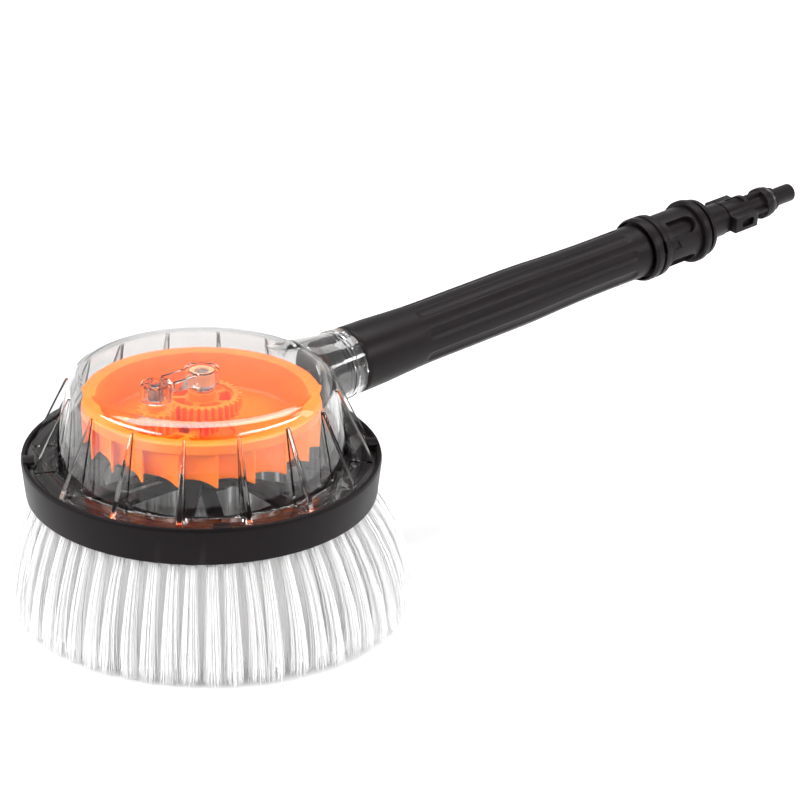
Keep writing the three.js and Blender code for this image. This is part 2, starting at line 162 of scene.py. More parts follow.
def makeSky():
    # a pale room: white low down behind the object, dark low down on the near side
    world = bpy.data.worlds.new("studioRoom")
    world.use_nodes = True
    nodes, links = world.node_tree.nodes, world.node_tree.links
    background = nodes["Background"]
    direction = nodes.new("ShaderNodeTexCoord")
    ramps = []
    for toward, start, end in ((skyward, 0.28, 0.6), (skyward, 0.12, 0.45), (away, -0.65, 0.2)):
        facing = nodes.new("ShaderNodeVectorMath")
        facing.operation = "DOT_PRODUCT"
        facing.inputs[1].default_value = toward
        ramp = nodes.new("ShaderNodeMapRange")
        ramp.interpolation_type = "SMOOTHSTEP"
        ramp.inputs["From Min"].default_value = start
        ramp.inputs["From Max"].default_value = end
        links.new(direction.outputs["Generated"], facing.inputs[0])
        links.new(facing.outputs["Value"], ramp.inputs["Value"])
        ramps.append(ramp)
    near, far, blend = ramps
    for ramp, side in ((near, "nearSky"), (far, "farSky")):
        low, high = lighting[side]
        ramp.inputs["To Min"].default_value = low
        ramp.inputs["To Max"].default_value = high
    links.new(near.outputs["Result"], blend.inputs["To Min"])
    links.new(far.outputs["Result"], blend.inputs["To Max"])
    links.new(blend.outputs["Result"], background.inputs["Strength"])
    background.inputs["Color"].default_value = (1, 0.995, 0.99, 1)
    scene.world = world


makeCamera()
makeSky()
for lightName in ("overhead", "leftBox", "rightBox", "sideFill"):
    makeLight(lightName)
scene.view_settings.view_transform = "Standard"
print("camera and lights set")

# Materials


def makeSurfaceGroup():
    # fine grain for bumps, broad mottling for gloss, and a mask on worn edges
    group = bpy.data.node_groups.new("mouldedSurface", "ShaderNodeTree")
    sockets = group.interface
    for name, value in (("Grain Scale", 2500), ("Mottle Scale", 40), ("Edge Wear", 0.3)):
        socket = sockets.new_socket(name, in_out="INPUT", socket_type="NodeSocketFloat")
        socket.default_value = value
    for name in ("Grain", "Mottle", "Edge"):
        sockets.new_socket(name, in_out="OUTPUT", socket_type="NodeSocketFloat")
    nodes, links = group.nodes, group.links
    given = nodes.new("NodeGroupInput")
    result = nodes.new("NodeGroupOutput")
    place = nodes.new("ShaderNodeTexCoord")
    grain = nodes.new("ShaderNodeTexNoise")
    grain.inputs["Detail"].default_value = 2
    mottle = nodes.new("ShaderNodeTexNoise")
    mottle.inputs["Detail"].default_value = 4
    surface = nodes.new("ShaderNodeNewGeometry")
    edge = nodes.new("ShaderNodeMapRange")
    edge.inputs["From Min"].default_value = 0.53
    edge.inputs["From Max"].default_value = 0.62
    worn = nodes.new("ShaderNodeMath")
    worn.operation = "MULTIPLY"
    broken = nodes.new("ShaderNodeMath")
    broken.operation = "MULTIPLY"
    links.new(place.outputs["Object"], grain.inputs["Vector"])
    links.new(place.outputs["Object"], mottle.inputs["Vector"])
    links.new(given.outputs["Grain Scale"], grain.inputs["Scale"])
    links.new(given.outputs["Mottle Scale"], mottle.inputs["Scale"])
    links.new(surface.outputs["Pointiness"], edge.inputs["Value"])
    links.new(edge.outputs["Result"], worn.inputs[0])
    links.new(given.outputs["Edge Wear"], worn.inputs[1])
    links.new(worn.outputs["Value"], broken.inputs[0])
    links.new(mottle.outputs["Fac"], broken.inputs[1])
    links.new(grain.outputs["Fac"], result.inputs["Grain"])
    links.new(mottle.outputs["Fac"], result.inputs["Mottle"])
    links.new(broken.outputs["Value"], result.inputs["Edge"])
    return group


surfaceGroup = makeSurfaceGroup()


def makeFinish(name, facts):
    material = bpy.data.materials.new(name)
    material.use_nodes = True
    nodes, links = material.node_tree.nodes, material.node_tree.links
    shader = nodes["Principled BSDF"]
    surface = nodes.new("ShaderNodeGroup")
    surface.node_tree = surfaceGroup
    surface.inputs["Grain Scale"].default_value = facts.get("grainScale", 2500)
    surface.inputs["Mottle Scale"].default_value = facts.get("mottleScale", 40)
    surface.inputs["Edge Wear"].default_value = facts.get("edgeWear", 0.2)
    tint = nodes.new("ShaderNodeMix")
    tint.data_type = "RGBA"
    tint.inputs[6].default_value = (*facts["colour"], 1)
    tint.inputs[7].default_value = (*facts["secondColour"], 1)
    wear = nodes.new("ShaderNodeMix")
    wear.data_type = "RGBA"
    wear.inputs[7].default_value = (*facts.get("wornColour", facts["secondColour"]), 1)
    links.new(surface.outputs["Mottle"], tint.inputs[0])
    links.new(surface.outputs["Edge"], wear.inputs[0])
    links.new(tint.outputs[2], wear.inputs[6])
    links.new(wear.outputs[2], shader.inputs["Base Color"])
    gloss = nodes.new("ShaderNodeMapRange")
    gloss.inputs["From Min"].default_value = 0.3
    gloss.inputs["From Max"].default_value = 0.7
    gloss.inputs["To Min"].default_value = facts["roughness"][0]
    gloss.inputs["To Max"].default_value = facts["roughness"][1]
    links.new(surface.outputs["Mottle"], gloss.inputs["Value"])
    links.new(gloss.outputs["Result"], shader.inputs["Roughness"])
    bump = nodes.new("ShaderNodeBump")
    bump.inputs["Strength"].default_value = facts.get("bump", 0.1)
    bump.inputs["Distance"].default_value = 0.0003
    links.new(surface.outputs["Grain"], bump.inputs["Height"])
    links.new(bump.outputs["Normal"], shader.inputs["Normal"])
    for socket, value in facts.get("shader", {}).items():
        shader.inputs[socket].default_value = value
    return material


finishes = {
    "satinBlack": {
        "colour": (0.0055, 0.0044, 0.0048),
        "secondColour": (0.009, 0.0072, 0.0076),
        "wornColour": (0.05, 0.045, 0.045),
        "roughness": (0.33, 0.44),
        "grainScale": 3200,
        "bump": 0.2,
        "edgeWear": 0.5,
        "shader": {"Specular IOR Level": 0.12, "Specular Tint": (1, 0.93, 0.94, 1)},
    },
    "glossBlack": {
        "colour": (0.010, 0.009, 0.010),
        "secondColour": (0.018, 0.016, 0.017),
        "roughness": (0.16, 0.26),
        "mottleScale": 60,
        "bump": 0.05,
        "shader": {"Specular IOR Level": 0.4},
    },
    "ringBlack": {
        "colour": (0.0055, 0.0045, 0.005),
        "secondColour": (0.0085, 0.007, 0.0075),
        "wornColour": (0.04, 0.035, 0.036),
        "roughness": (0.32, 0.4),
        "grainScale": 2600,
        "bump": 0.12,
        "edgeWear": 0.5,
        "shader": {"Specular IOR Level": 0.09, "Specular Tint": (1, 0.9, 0.94, 1)},
    },
    "orangeGloss": {
        "colour": (1.0, 0.14, 0.0005),
        "secondColour": (1.0, 0.225, 0.001),
        "wornColour": (1.0, 0.3, 0.02),
        "roughness": (0.3, 0.4),
        "mottleScale": 90,
        "bump": 0.04,
        "edgeWear": 0.5,
        "shader": {
            "Specular IOR Level": 0.3,
            "Subsurface Weight": 0.25,
            "Subsurface Radius": (1, 0.3, 0.03),
            "Subsurface Scale": 0.003,
        },
    },
    "bristleNylon": {
        "colour": (0.975, 0.975, 0.98),
        "secondColour": (0.99, 0.99, 0.99),
        "roughness": (0.4, 0.5),
        "grainScale": 900,
        "mottleScale": 160,
        "bump": 0.02,
        "edgeWear": 0.0,
        "shader": {
            "Specular IOR Level": 0.3,
            "Subsurface Weight": 0.6,
            "Subsurface Radius": (1, 1, 1),
            "Subsurface Scale": 0.003,
            "Emission Color": (1, 0.985, 0.98, 1),
            "Emission Strength": 0.0,
        },
    },
    "softRubber": {
        "colour": (0.008, 0.008, 0.008),
        "secondColour": (0.02, 0.02, 0.02),
        "roughness": (0.28, 0.4),
        "bump": 0.1,
    },
    "turnedSteel": {
        "colour": (0.52, 0.53, 0.55),
        "secondColour": (0.68, 0.69, 0.70),
        "roughness": (0.18, 0.34),
        "mottleScale": 300,
        "bump": 0.06,
        "shader": {"Metallic": 1.0},
    },
    "turnedBrass": {
        "colour": (0.62, 0.42, 0.14),
        "secondColour": (0.75, 0.54, 0.22),
        "roughness": (0.2, 0.34),
        "mottleScale": 300,
        "bump": 0.06,
        "shader": {"Metallic": 1.0},
    },
    "bushTan": {
        "colour": (0.72, 0.3, 0.14),
        "secondColour": (0.8, 0.38, 0.2),
        "roughness": (0.35, 0.5),
        "bump": 0.08,
    },
    "paleFloor": {
        "colour": (0.77, 0.77, 0.77),
        "secondColour": (0.79, 0.79, 0.79),
        "roughness": (0.75, 0.85),
        "grainScale": 60,
        "mottleScale": 2,
        "bump": 0.0,
    },
}
# the outer three rows get a painted glow (emission) that stands in for the light that comes through
# from strand to strand, brightening their shade; the innermost row has none
for name, paintedGlow in (("outerNylonPaintedGlow", 0.03), ("middleNylonPaintedGlow", 0.1)):
    nylon = finishes["bristleNylon"]
    finishes[name] = nylon | {"shader": nylon["shader"] | {"Emission Strength": paintedGlow}}
materials = {name: makeFinish(name, facts) for name, facts in finishes.items()}

clearFacts = {
    "colour": (0.80, 0.80, 0.795),
    "secondColour": (0.84, 0.835, 0.83),
    "roughness": (0.012, 0.035),
    "mottleScale": 25,
    "grainScale": 220,
    "bump": 0.012,
    "shader": {"Transmission Weight": 1.0, "IOR": 1.56},
}


def makeClearPlastic():
    # light passes straight through for shadows, so what is inside is lit evenly
    material = makeFinish("clearPlastic", clearFacts)
    nodes, links = material.node_tree.nodes, material.node_tree.links
    shader = nodes["Principled BSDF"]
    output = nodes["Material Output"]
    ray = nodes.new("ShaderNodeLightPath")
    through = nodes.new("ShaderNodeBsdfTransparent")
    through.inputs["Color"].default_value = (0.94, 0.94, 0.94, 1)
    blend = nodes.new("ShaderNodeMixShader")
    links.new(ray.outputs["Is Shadow Ray"], blend.inputs[0])
    links.new(shader.outputs["BSDF"], blend.inputs[1])
    links.new(through.outputs["BSDF"], blend.inputs[2])
    links.new(blend.outputs["Shader"], output.inputs["Surface"])
    return material


materials["clearPlastic"] = makeClearPlastic()
print("materials made:", len(materials))

# Shape helpers


def softened(points, closed=False, steps=4):
    # a third number on a point is the radius that rounds that corner
    rounded = []
    last = len(points) - 1
    for i, point in enumerate(points):
        corner = Vector(point[:2])
        if len(point) < 3 or (not closed and i in (0, last)):
            rounded.append(corner)
            continue
        before = Vector(points[i - 1][:2]) - corner
        after = Vector(points[(i + 1) % len(points)][:2]) - corner
        reach = point[2] / math.tan(before.angle(after) / 2)
        reach = min(reach, 0.48 * before.length, 0.48 * after.length)
        start = corner + before.normalized() * reach
        end = corner + after.normalized() * reach
        for k in range(steps + 1):
            t = k / steps
            rounded.append(start * (1 - t) ** 2 + corner * (2 * t * (1 - t)) + end * t**2)
    return rounded


def turned(profile, steps=144, closed=True):
    shape = bmesh.new()
    corners = [shape.verts.new((p[0], 0, p[1])) for p in softened(profile, closed)]
    edges = [shape.edges.new(pair) for pair in zip(corners, corners[1:])]
    if closed:
        edges.append(shape.edges.new((corners[-1], corners[0])))
    bmesh.ops.spin(
        shape,
        geom=corners + edges,
        cent=(0, 0, 0),
        axis=(0, 0, 1),
        dvec=(0, 0, 0),
        angle=math.tau,
        steps=steps,
        use_merge=True,
    )
    bmesh.ops.remove_doubles(shape, verts=shape.verts, dist=1e-4)
    bmesh.ops.recalc_face_normals(shape, faces=shape.faces)
    return shape


def ringSection(inner, outer, low, high, soft=0.2):
    return [(inner, low, soft), (outer, low, soft), (outer, high, soft), (inner, high, soft)]


def tube(inner, outer, low, high, soft=0.2, steps=64):
    return turned(ringSection(inner, outer, low, high, soft), steps)


def rod(radius, low, high, soft=0.3, steps=64):
    return turned([(0, low), (radius, low, soft), (radius, high, soft), (0, high)], steps, False)


def seal(middle, thickness, at):
    circle = [i * math.tau / 14 for i in range(14)]
    section = [(middle + thickness * math.cos(a), at + thickness * math.sin(a)) for a in circle]
    return turned(section, 72)


def bevelEdges(shape, edges, width, steps):
    bmesh.ops.bevel(
        shape,
        geom=edges,
        offset=width,
        offset_type="OFFSET",
        segments=steps,
        profile=0.5,
        affect="EDGES",
        clamp_overlap=True,
        material=-1,
    )


def bevelled(shape, width, steps=2, angle=30):
    limit = math.radians(angle)
    sharp = [e for e in shape.edges if e.is_manifold and e.calc_face_angle(0) > limit]
    bevelEdges(shape, sharp, width, steps)
    return shape


def raised(outline, low, high):
    shape = bmesh.new()
    face = shape.faces.new([shape.verts.new((p[0], p[1], low)) for p in outline])
    grown = bmesh.ops.extrude_face_region(shape, geom=[face])
    top = [part for part in grown["geom"] if isinstance(part, bmesh.types.BMVert)]
    bmesh.ops.translate(shape, verts=top, vec=(0, 0, high - low))
    bmesh.ops.recalc_face_normals(shape, faces=shape.faces)
    return shape


def block(size, middle, soft=0.0):
    shape = bmesh.new()
    bmesh.ops.create_cube(shape, size=1)
    bmesh.ops.scale(shape, verts=shape.verts, vec=size)
    bmesh.ops.translate(shape, verts=shape.verts, vec=middle)
    return bevelled(shape, soft) if soft else shape


def moved(shape, matrix):
    shape.transform(matrix)
    return shape


def spun(degrees):
    return Matrix.Rotation(math.radians(degrees), 4, "Z")


def around(shape, count, phase=0):
    mesh = bpy.data.meshes.new("part")
    shape.to_mesh(mesh)
    shape.free()
    mesh.transform(spun(phase))
    whole = bmesh.new()
    for _ in range(count):
        whole.from_mesh(mesh)
        mesh.transform(spun(360 / count))
    bpy.data.meshes.remove(mesh)
    return whole


def asObject(shape):
    mesh = bpy.data.meshes.new("part")
    shape.to_mesh(mesh)
    shape.free()
    made = bpy.data.objects.new("part", mesh)
    scene.collection.objects.link(made)
    return made


def combined(shape, tool, operation):
    base, cutter = asObject(shape), asObject(tool)
    step = base.modifiers.new("combine", "BOOLEAN")
    step.operation = operation
    step.solver = "EXACT"
    step.object = cutter
    result = bmesh.new()
    result.from_object(base, bpy.context.evaluated_depsgraph_get())
    for made in (base, cutter):
        mesh = made.data
        bpy.data.objects.remove(made)
        bpy.data.meshes.remove(mesh)
    bmesh.ops.remove_doubles(result, verts=result.verts, dist=1e-4)
    return result


def joined(shape, tool):
    return combined(shape, tool, "UNION")


def cut(shape, tool):
    return combined(shape, tool, "DIFFERENCE")


def finish(name, shape, place, material, body, slot, *nodes, sharp=32):
    shape.transform(place)
    mesh = bpy.data.meshes.new(name)
    shape.to_mesh(mesh)
    shape.free()
    mesh.polygons.foreach_set("use_smooth", [True] * len(mesh.polygons))
    mesh.set_sharp_from_angle(angle=math.radians(sharp))
    mesh.materials.append(materials[material])
    piece = bpy.data.objects.new(name, mesh)
    scene.collection.objects.link(piece)
    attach(piece, body)
    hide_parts(*nodes)
    return piece


def sector(inner, outer, count, spoke, steps=10):
    # the gap between two spokes of even width
    points = []
    for radius, way in ((outer, 1), (inner, -1)):
        half = math.pi / count - math.asin(spoke / 2 / radius)
        for k in range(steps + 1):
            angle = way * half * (2 * k / steps - 1)
            points.append((radius * math.cos(angle), radius * math.sin(angle)))
    return points


def windows(inner, outer, count, spoke, low, high, soft):
    opening = raised(sector(inner, outer, count, spoke), low, high)
    upright = [
        e
        for e in opening.edges
        if abs(e.verts[0].co.z - e.verts[1].co.z) > 0.1 and e.calc_face_angle(0) > 0.5
    ]
    bevelEdges(opening, upright, soft, 4)
    return around(opening, count, 180 / count)


# Floor


def makeFloor():
    shape = bmesh.new()
    bmesh.ops.create_grid(shape, x_segments=2, y_segments=2, size=9)
    mesh = bpy.data.meshes.new("studioFloor")
    shape.to_mesh(mesh)
    shape.free()
    mesh.materials.append(materials["paleFloor"])
    floor = bpy.data.objects.new("studioFloor", mesh)
    scene.collection.objects.link(floor)


makeFloor()

# Clear cover

dome = {
    "flangeTop": -1.5,
    "flangeRadius": 77.3,
    "wall": 2.3,
    "skirtFoot": 66.0,
    "skirtTop": (59.6, 30.0),  # radius and height where the shoulder begins
    "crownEdge": 53.4,  # where the crown has fallen by its whole drop
    "crownHeight": 40.3,
    "crownDrop": 2.45,
    "ribs": 16,
    "ribPhase": -0.2,
    "ribTop": 32,
    "ribFoot": 75.8,
    "ribTopRadius": 59.9,
    "ribDepth": 1.7,  # how far a rib's top reaches into the wall
    "ribThickness": (1.5, 2.9),  # at the top and at the foot
    "ribSoftness": 0.55,
    "teeth": 72,
}


def swept(start, pull, end, steps=9):
    # a smooth curve that leaves start and reaches end in line with pull
    start, pull, end = Vector(start), Vector(pull), Vector(end)
    parts = [k / steps for k in range(steps + 1)]
    return [start * (1 - t) ** 2 + pull * (2 * t * (1 - t)) + end * t**2 for t in parts]


def crown(outer, height):
    steps, curve = 12, 2.2
    radii = [outer * (1 - k / steps) for k in range(steps + 1)]
    edge, drop = dome["crownEdge"], dome["crownDrop"]
    return [(r, height - drop * (r / edge) ** curve) for r in radii]


def domeRib():
    thin, thick = dome["ribThickness"]
    side = [
        (dome["skirtFoot"] - 1.4, -2.0),
        (dome["ribFoot"], -2.0),
        (dome["ribFoot"], 0.1),
        (dome["ribTopRadius"], dome["ribTop"]),
        (dome["ribTopRadius"] - dome["ribDepth"], dome["ribTop"]),
    ]
    rib = raised(side, -0.5, 0.5)
    for corner in rib.verts:
        height = corner.co.y
        width = thick + (thin - thick) * max(height, 0) / dome["ribTop"]
        corner.co.z *= width
    moved(rib, Matrix.Rotation(math.radians(90), 4, "X"))
    outer = [
        e
        for e in rib.edges
        if min(v.co.z for v in e.verts) > -1.9 and e.calc_face_angle(0) > 0.5
    ]
    bevelEdges(rib, outer, dome["ribSoftness"], 3)
    return rib


def neckOutside():
    rings = []
    for at in (76.4, 78.6):
        rings += [(16, at - 0.5), (16.3, at - 0.15), (16.3, at + 0.15), (16, at + 0.5)]
    profile = [(0, 40), (20.6, 40), (19.4, 52, 20), (17.6, 62, 30), (16.1, 72, 20)]
    profile += rings + [(16, 83.5), (15.2, 84.5), (0, 84.5)]
    neck = turned(profile, dome["teeth"] * 2, False)
    for corner in neck.verts:
        radius = corner.co.xy.length
        if corner.co.z > 83.4 and radius > 15:  # every second corner steps back into a small tooth
            index = round(math.atan2(corner.co.y, corner.co.x) / math.tau * dome["teeth"] * 2)
            if index % 2:
                corner.co.z -= 1.0
    return neck


def ceilingBosses():
    top = 38.9
    shaftBoss = tube(5.9, 7.9, 32, top, 0.35, 72)
    outerWall = tube(5.3, 6.9, 30.2, top, 0.3, 64)
    innerWall = tube(2.3, 3.4, 30.8, top, 0.2, 48)
    spokes = around(block((2.6, 0.9, top - 31.4), (4.35, 0, (top + 31.4) / 2)), 6, 15)
    axleBoss = joined(joined(outerWall, innerWall), spokes)
    moved(axleBoss, Matrix.Translation((-idlerOffset, 0, 0)))
    length = idlerOffset - 11.5
    webs = [
        block((length, 1.5, 5.6), (-idlerOffset / 2 + 0.5, side * 4.4, top - 2.8), 0.25)
        for side in (-1, 1)
    ]
    bosses = joined(shaftBoss, axleBoss)
    for web in webs:
        bosses = joined(bosses, web)
    return bosses


def makeDome():
    foot = dome["flangeTop"] - dome["wall"]
    outside = turned(
        [
            (0, foot),
            (dome["flangeRadius"], foot, 0.3),
            (dome["flangeRadius"], dome["flangeTop"], 0.4),
            (dome["skirtFoot"], dome["flangeTop"], 1.2),
            *swept(dome["skirtTop"], (58.9, 35.9), (54.4, 37.25)),
            (53.7, 37.64),
            *crown(52.8, dome["crownHeight"]),
        ],
        160,
        False,
    )
    wall = dome["wall"]
    inside = turned(
        [
            (0, foot - 1),
            (dome["skirtFoot"] - wall, foot - 1),
            (dome["skirtFoot"] - wall, foot),
            *swept((57.3, 29.4), (56.6, 34.2), (52.9, 35.4)),
            *crown(52.0, dome["crownHeight"] - wall),
        ],
        160,
        False,
    )
    toNeck = headPlace.inverted() @ handlePlace
    neck = moved(neckOutside(), toNeck)
    bore = moved(turned([(0, 40), (13.2, 40), (13.2, 86), (0, 86)], 96, False), toNeck)
    shape = joined(outside, neck)
    shape = joined(shape, around(domeRib(), dome["ribs"], dome["ribPhase"]))
    shape = cut(shape, inside)
    shape = cut(shape, bore)
    shape = joined(shape, ceilingBosses())
    look = ("clearPlastic", "housing", "clear_plastic")
    finish("clearDome", shape, headPlace, *look, "dome_cover", sharp=28)


makeDome()
print("clear cover made")

# Base ring and floor

base = {"radius": 80, "foot": 78.2, "wall": 2, "clips": 4, "clipPhase": 58.5}


def baseClip():
    # a post on the ring's lip with a nose over the clear flange
    nose = block((4.6, 8, 1.6), (76.3, 0, -0.3), 0.35)
    post = block((1.8, 8, 4.4), (78.4, 0, -1.6), 0.3)
    return joined(nose, post)


def makeBase():
    inner = base["foot"] - base["wall"]
    body = turned(
        [
            (inner, -ringDepth, 0.5),
            (base["foot"], -ringDepth, 0.9),
            (base["radius"] - 0.05, -1.6, 1.2),
            (base["radius"] - 0.5, 0, 0.5),
            (base["radius"] - 2.1, 0, 0.4),
            (base["radius"] - 2.3, -4, 0.5),
            (73.5, -4, 0.3),
            (73.1, -3.4, 0.3),
            (70.9, -3.4, 0.3),
            (70.5, -4, 0.3),
            (24.5, -4, 0.3),
            (24.2, -3.1, 0.3),
            (22.6, -3.1, 0.3),
            (22.3, -4, 0.3),
            (11, -4, 1.0),
            (11, 1.5, 0.4),
            (6.4, 1.5, 0.4),
            (6.4, -7.6, 0.4),
            (11, -7.6, 0.4),
            (11, -6.4, 0.4),
            (inner, -6.4, 0.8),
        ],
        180,
    )
    body = cut(body, windows(27, 68, 8, 7, -9, -2, 3))
    body = joined(body, around(baseClip(), base["clips"], base["clipPhase"]))
    finish("baseRing", body, headPlace, "ringBlack", "housing", "black_plastic", "base_housing")


makeBase()
print("base ring made")

# Gears

gears = {"pinion": 14, "idlerLarge": 36, "idlerSmall": 16, "output": 34}


def gearOutline(teeth, phase=0.0):
    pitch = teeth / 2
    root, tip = pitch - 1.15, pitch + 0.7
    flank = [(root, 0.98), (pitch - 0.9, 0.9), (pitch, 0.68), (pitch + 0.5, 0.5), (tip, 0.3)]
    points = []
    for tooth in range(teeth):
        middle = phase + tooth * math.tau / teeth
        for side in (-1, 1):
            for radius, half in flank[::-side]:
                angle = middle + side * half / radius
                points.append((radius * math.cos(angle), radius * math.sin(angle)))
    return points


def gear(teeth, phase, low, high, soft=0.16):
    shape = raised(gearOutline(teeth, phase), low, high)
    rim = [
        e
        for e in shape.edges
        if abs(e.verts[0].co.z - e.verts[1].co.z) < 1e-4 and e.calc_face_angle(0) > 0.5
    ]
    bevelEdges(shape, rim, soft, 1)
    return shape


def makeIdler():
    large = gear(gears["idlerLarge"], math.pi / gears["idlerLarge"], 12.6, 18.4)
    large = cut(large, windows(9.8, 14.6, 6, 2.4, 12, 19, 0.8))
    small = gear(gears["idlerSmall"], math.pi / gears["idlerSmall"], 17.9, 26.2)
    shape = joined(joined(large, small), rod(4.2, 25.5, 28.6, 0.4))
    shape = cut(shape, rod(2.3, 11, 30, 0.01, 48))
    look = ("orangeGloss", "idler", "orange_plastic")
    finish("idlerGear", shape, idlerPlace, *look, "idler_gear", sharp=35)


def makeOutputGear():
    low, high = 20.6, 26.2
    shape = gear(gears["output"], 0.0, low, high)
    shape = cut(shape, tube(6.2, 13.9, high - 1.3, high + 1, 0.01, 96))
    shape = cut(shape, windows(7.6, 12.9, 5, 2.6, low - 1, high + 1, 0.8))
    hub = turned([(0, low - 0.6), (6.2, low - 0.6, 0.3), (6.2, 28.5, 0.5), (0, 28.5)], 72, False)
    shape = joined(shape, hub)
    shape = cut(shape, rod(3.3, low - 2, 30, 0.01, 56))
    look = ("orangeGloss", "brush", "orange_plastic")
    finish("outputGear", shape, headPlace, *look, "output_gear", sharp=35)


makeIdler()
makeOutputGear()
print("gears made")

# Turbine

turbine = {
    "radius": 52.8,
    "top": 26.6,
    "bandFoot": 21.9,
    "bowl": 48.3,
    "bowlWall": 1.8,
    "vanes": 20,
    "vaneFoot": 6.0,
    # one vane from above, as radius and angle in degrees, from its root round its tip and back
    "vaneOutline": [
        (47.3, -5.4),
        (48.25, -5.2),
        (48.5, -3.4),
        (48.95, -1.6),
        (49.7, 0.4),
        (50.8, 2.4),
        (52.3, 4.7),
        (52.55, 5.3),
        (52.2, 5.75),
        (51.4, 5.3),
        (49.9, 3.9),
        (48.8, 3.2),
        (48.25, 3.8),
        (47.3, 3.9),
    ],
}


def turbineVane():
    polar = [(r, math.radians(a)) for r, a in turbine["vaneOutline"]]
    vane = raised([(r * math.cos(a), r * math.sin(a)) for r, a in polar], 0, 1)
    for corner in vane.verts:
        out = max(corner.co.xy.length - turbine["bowl"], 0) / (52.5 - turbine["bowl"])
        if corner.co.z < 0.5:
            corner.co.z = 8.3 + (turbine["vaneFoot"] - 8.3) * out
        else:
            corner.co.z = 25.4 - 4.6 * out
    return vane


def makeTurbine():
    inner = turbine["bowl"] - turbine["bowlWall"]
    bowl = turned(
        [
            (4.7, 3.2, 0.3),
            (7.3, 3.2, 0.3),
            (7.3, 8, 0.8),
            (turbine["bowl"], 8, 1.4),
            (turbine["bowl"], 25, 0.4),
            (turbine["radius"] - 1.6, 25, 0.4),
            (turbine["radius"] - 1.6, turbine["bandFoot"], 0.3),
            (turbine["radius"], turbine["bandFoot"], 0.4),
            (turbine["radius"], turbine["top"], 0.7),
            (inner, turbine["top"], 0.6),
            (inner, 10, 2.2),
            (16, 10, 0.4),
            (15.6, 10.8, 0.4),
            (14.4, 10.8, 0.4),
            (14, 10, 0.4),
            (7.3, 10, 0.6),
            (7.3, 12, 0.2),
            (4.7, 12, 0.2),
        ],
        180,
    )
    shape = joined(bowl, around(turbineVane(), turbine["vanes"]))
    pinion = cut(gear(gears["pinion"], 0.0, 11.8, 19), rod(4.7, 11, 20, 0.01, 56))
    shape = joined(shape, pinion)
    look = ("orangeGloss", "turbine", "orange_plastic")
    finish("turbineWheel", shape, headPlace, *look, "turbine_wheel", sharp=30)


makeTurbine()
print("turbine made")

# Brush disc and bristles

brush = {
    "discTop": -11.6,
    "discFoot": -16.5,
    "discRadius": 75.7,
    "rows": [
        # rows 1 to 3 use nylon with a painted glow (emission) that lightens shade between strands;
        # row 4 has none
        {"root": 72.9, "tip": 86.6, "tufts": 59, "filaments": 90, "look": "outerNylonPaintedGlow"},
        {"root": 65.8, "tip": 76.4, "tufts": 53, "filaments": 62, "look": "middleNylonPaintedGlow"},
        {"root": 58.7, "tip": 67.8, "tufts": 47, "filaments": 54, "look": "middleNylonPaintedGlow"},
        {"root": 51.6, "tip": 59.4, "tufts": 41, "filaments": 54, "look": "bristleNylon"},
    ],
    "filamentRadius": 0.27,
    "rings": 5,
    "rootTop": -16.8,
    "tips": -70.0,
    "rootSpread": 2.35,
    "tipSpread": 4.5,
    "coreShare": 0.72,  # the closely packed middle of a tuft, as a share of its spread
    "coreLength": 0.86,  # as a share of the tuft's length
    "sideFlare": 4.2,  # the row flares further on one side than on the other
    "variants": 6,
}


def makeDisc():
    body = turned(
        [
            (3.3, -17.9, 0.3),
            (10, -17.9, 0.5),
            (10, -14.5, 0.8),
            (48.5, -14.5, 0.5),
            (48.5, brush["discFoot"], 0.4),
            (brush["discRadius"], brush["discFoot"], 0.6),
            (brush["discRadius"], brush["discTop"], 0.6),
            (48.5, brush["discTop"], 0.6),
            (48.5, -12.2, 0.2),
            (10, -12.2, 0.8),
            (10, -8.2, 0.5),
            (3.3, -8.2, 0.3),
        ],
        160,
    )
    body = cut(body, windows(16, 44.5, 6, 7, -16, -11, 3))
    finish("brushDisc", body, headPlace, "glossBlack", "brush", "black_plastic", "brush_disc")


def filament(length, radius, rings, sides=3):
    strand = bmesh.new()
    bmesh.ops.create_circle(strand, cap_ends=True, segments=sides, radius=radius)
    strand.faces.ensure_lookup_table()
    face = strand.faces[0]
    for _ in range(rings):
        grown = bmesh.ops.extrude_face_region(strand, geom=[face])
        fresh = [part for part in grown["geom"] if isinstance(part, bmesh.types.BMVert)]
        bmesh.ops.translate(strand, verts=fresh, vec=(0, 0, -length / rings))
        face = next(part for part in grown["geom"] if isinstance(part, bmesh.types.BMFace))
    bmesh.ops.recalc_face_normals(strand, faces=strand.faces)
    return strand


def tuftSpread(down, lean=1.0):
    return brush["rootSpread"] + (brush["tipSpread"] - brush["rootSpread"]) * down**1.4 * lean


